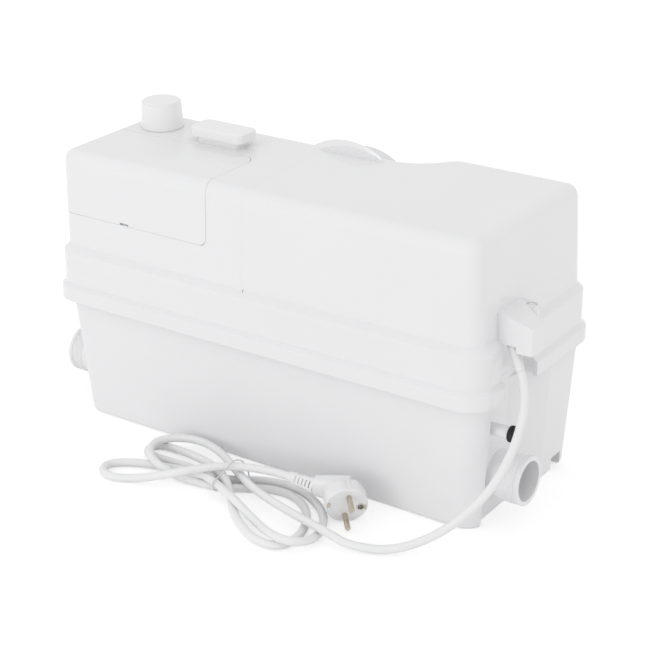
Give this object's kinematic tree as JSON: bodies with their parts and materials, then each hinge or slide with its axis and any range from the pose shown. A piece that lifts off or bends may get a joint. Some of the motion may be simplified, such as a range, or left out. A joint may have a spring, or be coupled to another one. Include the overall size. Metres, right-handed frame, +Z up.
{
  "type": "sewage lifting station",
  "caption": "Compact sewage lifting station with macerating pump, side and rear inlets, lift-off cover, capped riser and a hanked mains lead.",
  "frame": {"origin": "on the floor under the tank, midway along the rim's length and its narrow depth", "axes": "+X along the length towards the end with the mains lead, -Y out of the long front face, +Z up"},
  "size_m": [0.5019, 0.3067, 0.2864],
  "materials": {
    "lid_plastic": "glossy white ABS",
    "tank_plastic": "satin white ABS",
    "cap_plastic": "satin white",
    "grey_plastic": "satin grey",
    "black_plastic": "satin black",
    "rubber_black": "matt black rubber",
    "rubber_grey": "matt pale rubber",
    "charcoal_foam": "open charcoal foam",
    "steel": "machined steel",
    "aluminium": "cast aluminium",
    "motor_paint": "dark enamel",
    "circuit_board": "green board",
    "cord_pvc": "white PVC",
    "tie_wire": "plastic covered wire",
    "brass_nickel": "nickel-plated brass"
  },
  "bodies": {
    "station": {"capacitor": "aluminium", "control_board": "circuit_board", "control_box": "grey_plastic", "cord_gland": "cap_plastic", "cord_hank": "cord_pvc", "cord_hood": "lid_plastic", "cord_tie": "tie_wire", "cutter_ring": "steel", "discharge_hose": "rubber_black", "discharge_riser": "grey_plastic", "end_shield": "aluminium", "hood_screw": "cap_plastic", "hose_clamps": "steel", "lid_shell": "lid_plastic", "lower_bearing": "steel", "motor_base": "aluminium", "motor_can": "motor_paint", "motor_screws": "steel", "motor_stator": "steel", "pan_bend": "grey_plastic", "pan_sleeve": "rubber_grey", "plate_screws": "steel", "plug_body": "cord_pvc", "plug_earth": "brass_nickel", "plug_pins": "brass_nickel", "plug_relief": "cord_pvc", "power_cord": "cord_pvc", "pressure_bell": "grey_plastic", "pressure_switch": "black_plastic", "pump_column": "grey_plastic", "pump_volute": "grey_plastic", "shaft_seal": "rubber_black", "sleeve_clamp": "steel", "tank": "tank_plastic", "tank_gasket": "rubber_black", "terminal_block": "black_plastic", "top_plate": "tank_plastic", "upper_bearing": "steel", "valve_body": "grey_plastic", "vent_base": "cap_plastic", "vent_filter": "charcoal_foam"},
    "rotor": {"motor_shaft": "steel", "rotor_core": "steel", "impeller": "black_plastic", "cutter_blade": "steel"},
    "access_cover": {"access_cover": "lid_plastic"},
    "vent_cap": {"vent_cap": "cap_plastic"},
    "discharge_cap": {"discharge_cap": "cap_plastic"},
    "drain_cap": {"drain_cap": "black_plastic"},
    "valve_flap": {"valve_flap": "rubber_black"},
    "inlet_flap_right": {"inlet_flap_right": "rubber_grey"},
    "inlet_flap_left": {"inlet_flap_left": "rubber_grey"},
    "switch_plunger": {"switch_plunger": "steel"}
  },
  "joints": [
    {"name": "motor_spin", "type": "hinge", "parent": "station", "child": "rotor", "pos_m": [0.15, 0.03, 0.1], "axis": [0, 0, 1], "continuous": true},
    {"name": "cover_lift", "type": "slide", "parent": "station", "child": "access_cover", "axis": [0, 0, 1], "range_m": [0, 0.08]},
    {"name": "vent_cap_lift", "type": "slide", "parent": "station", "child": "vent_cap", "axis": [0, 0, 1], "range_m": [0, 0.02]},
    {"name": "discharge_cap_lift", "type": "slide", "parent": "station", "child": "discharge_cap", "axis": [0, 0, 1], "range_m": [0, 0.03]},
    {"name": "drain_cap_pull", "type": "slide", "parent": "station", "child": "drain_cap", "axis": [1, 0, 0], "range_m": [0, 0.012]},
    {"name": "valve_flap_swing", "type": "hinge", "parent": "station", "child": "valve_flap", "pos_m": [-0.2055, 0.0323, 0.08], "axis": [0, -1, 0], "range_deg": [0, 60]},
    {"name": "inlet_flap_right_swing", "type": "hinge", "parent": "station", "child": "inlet_flap_right", "pos_m": [0.20154, -0.029, 0.0685], "axis": [0, 1, 0], "range_deg": [0, 60]},
    {"name": "inlet_flap_left_swing", "type": "hinge", "parent": "station", "child": "inlet_flap_left", "pos_m": [-0.2059, -0.029, 0.0685], "axis": [0, -1, 0], "range_deg": [0, 60]},
    {"name": "switch_press", "type": "slide", "parent": "station", "child": "switch_plunger", "axis": [0, 0, 1], "range_m": [0, 0.003], "stiffness_N_per_m": 300}
  ]
}
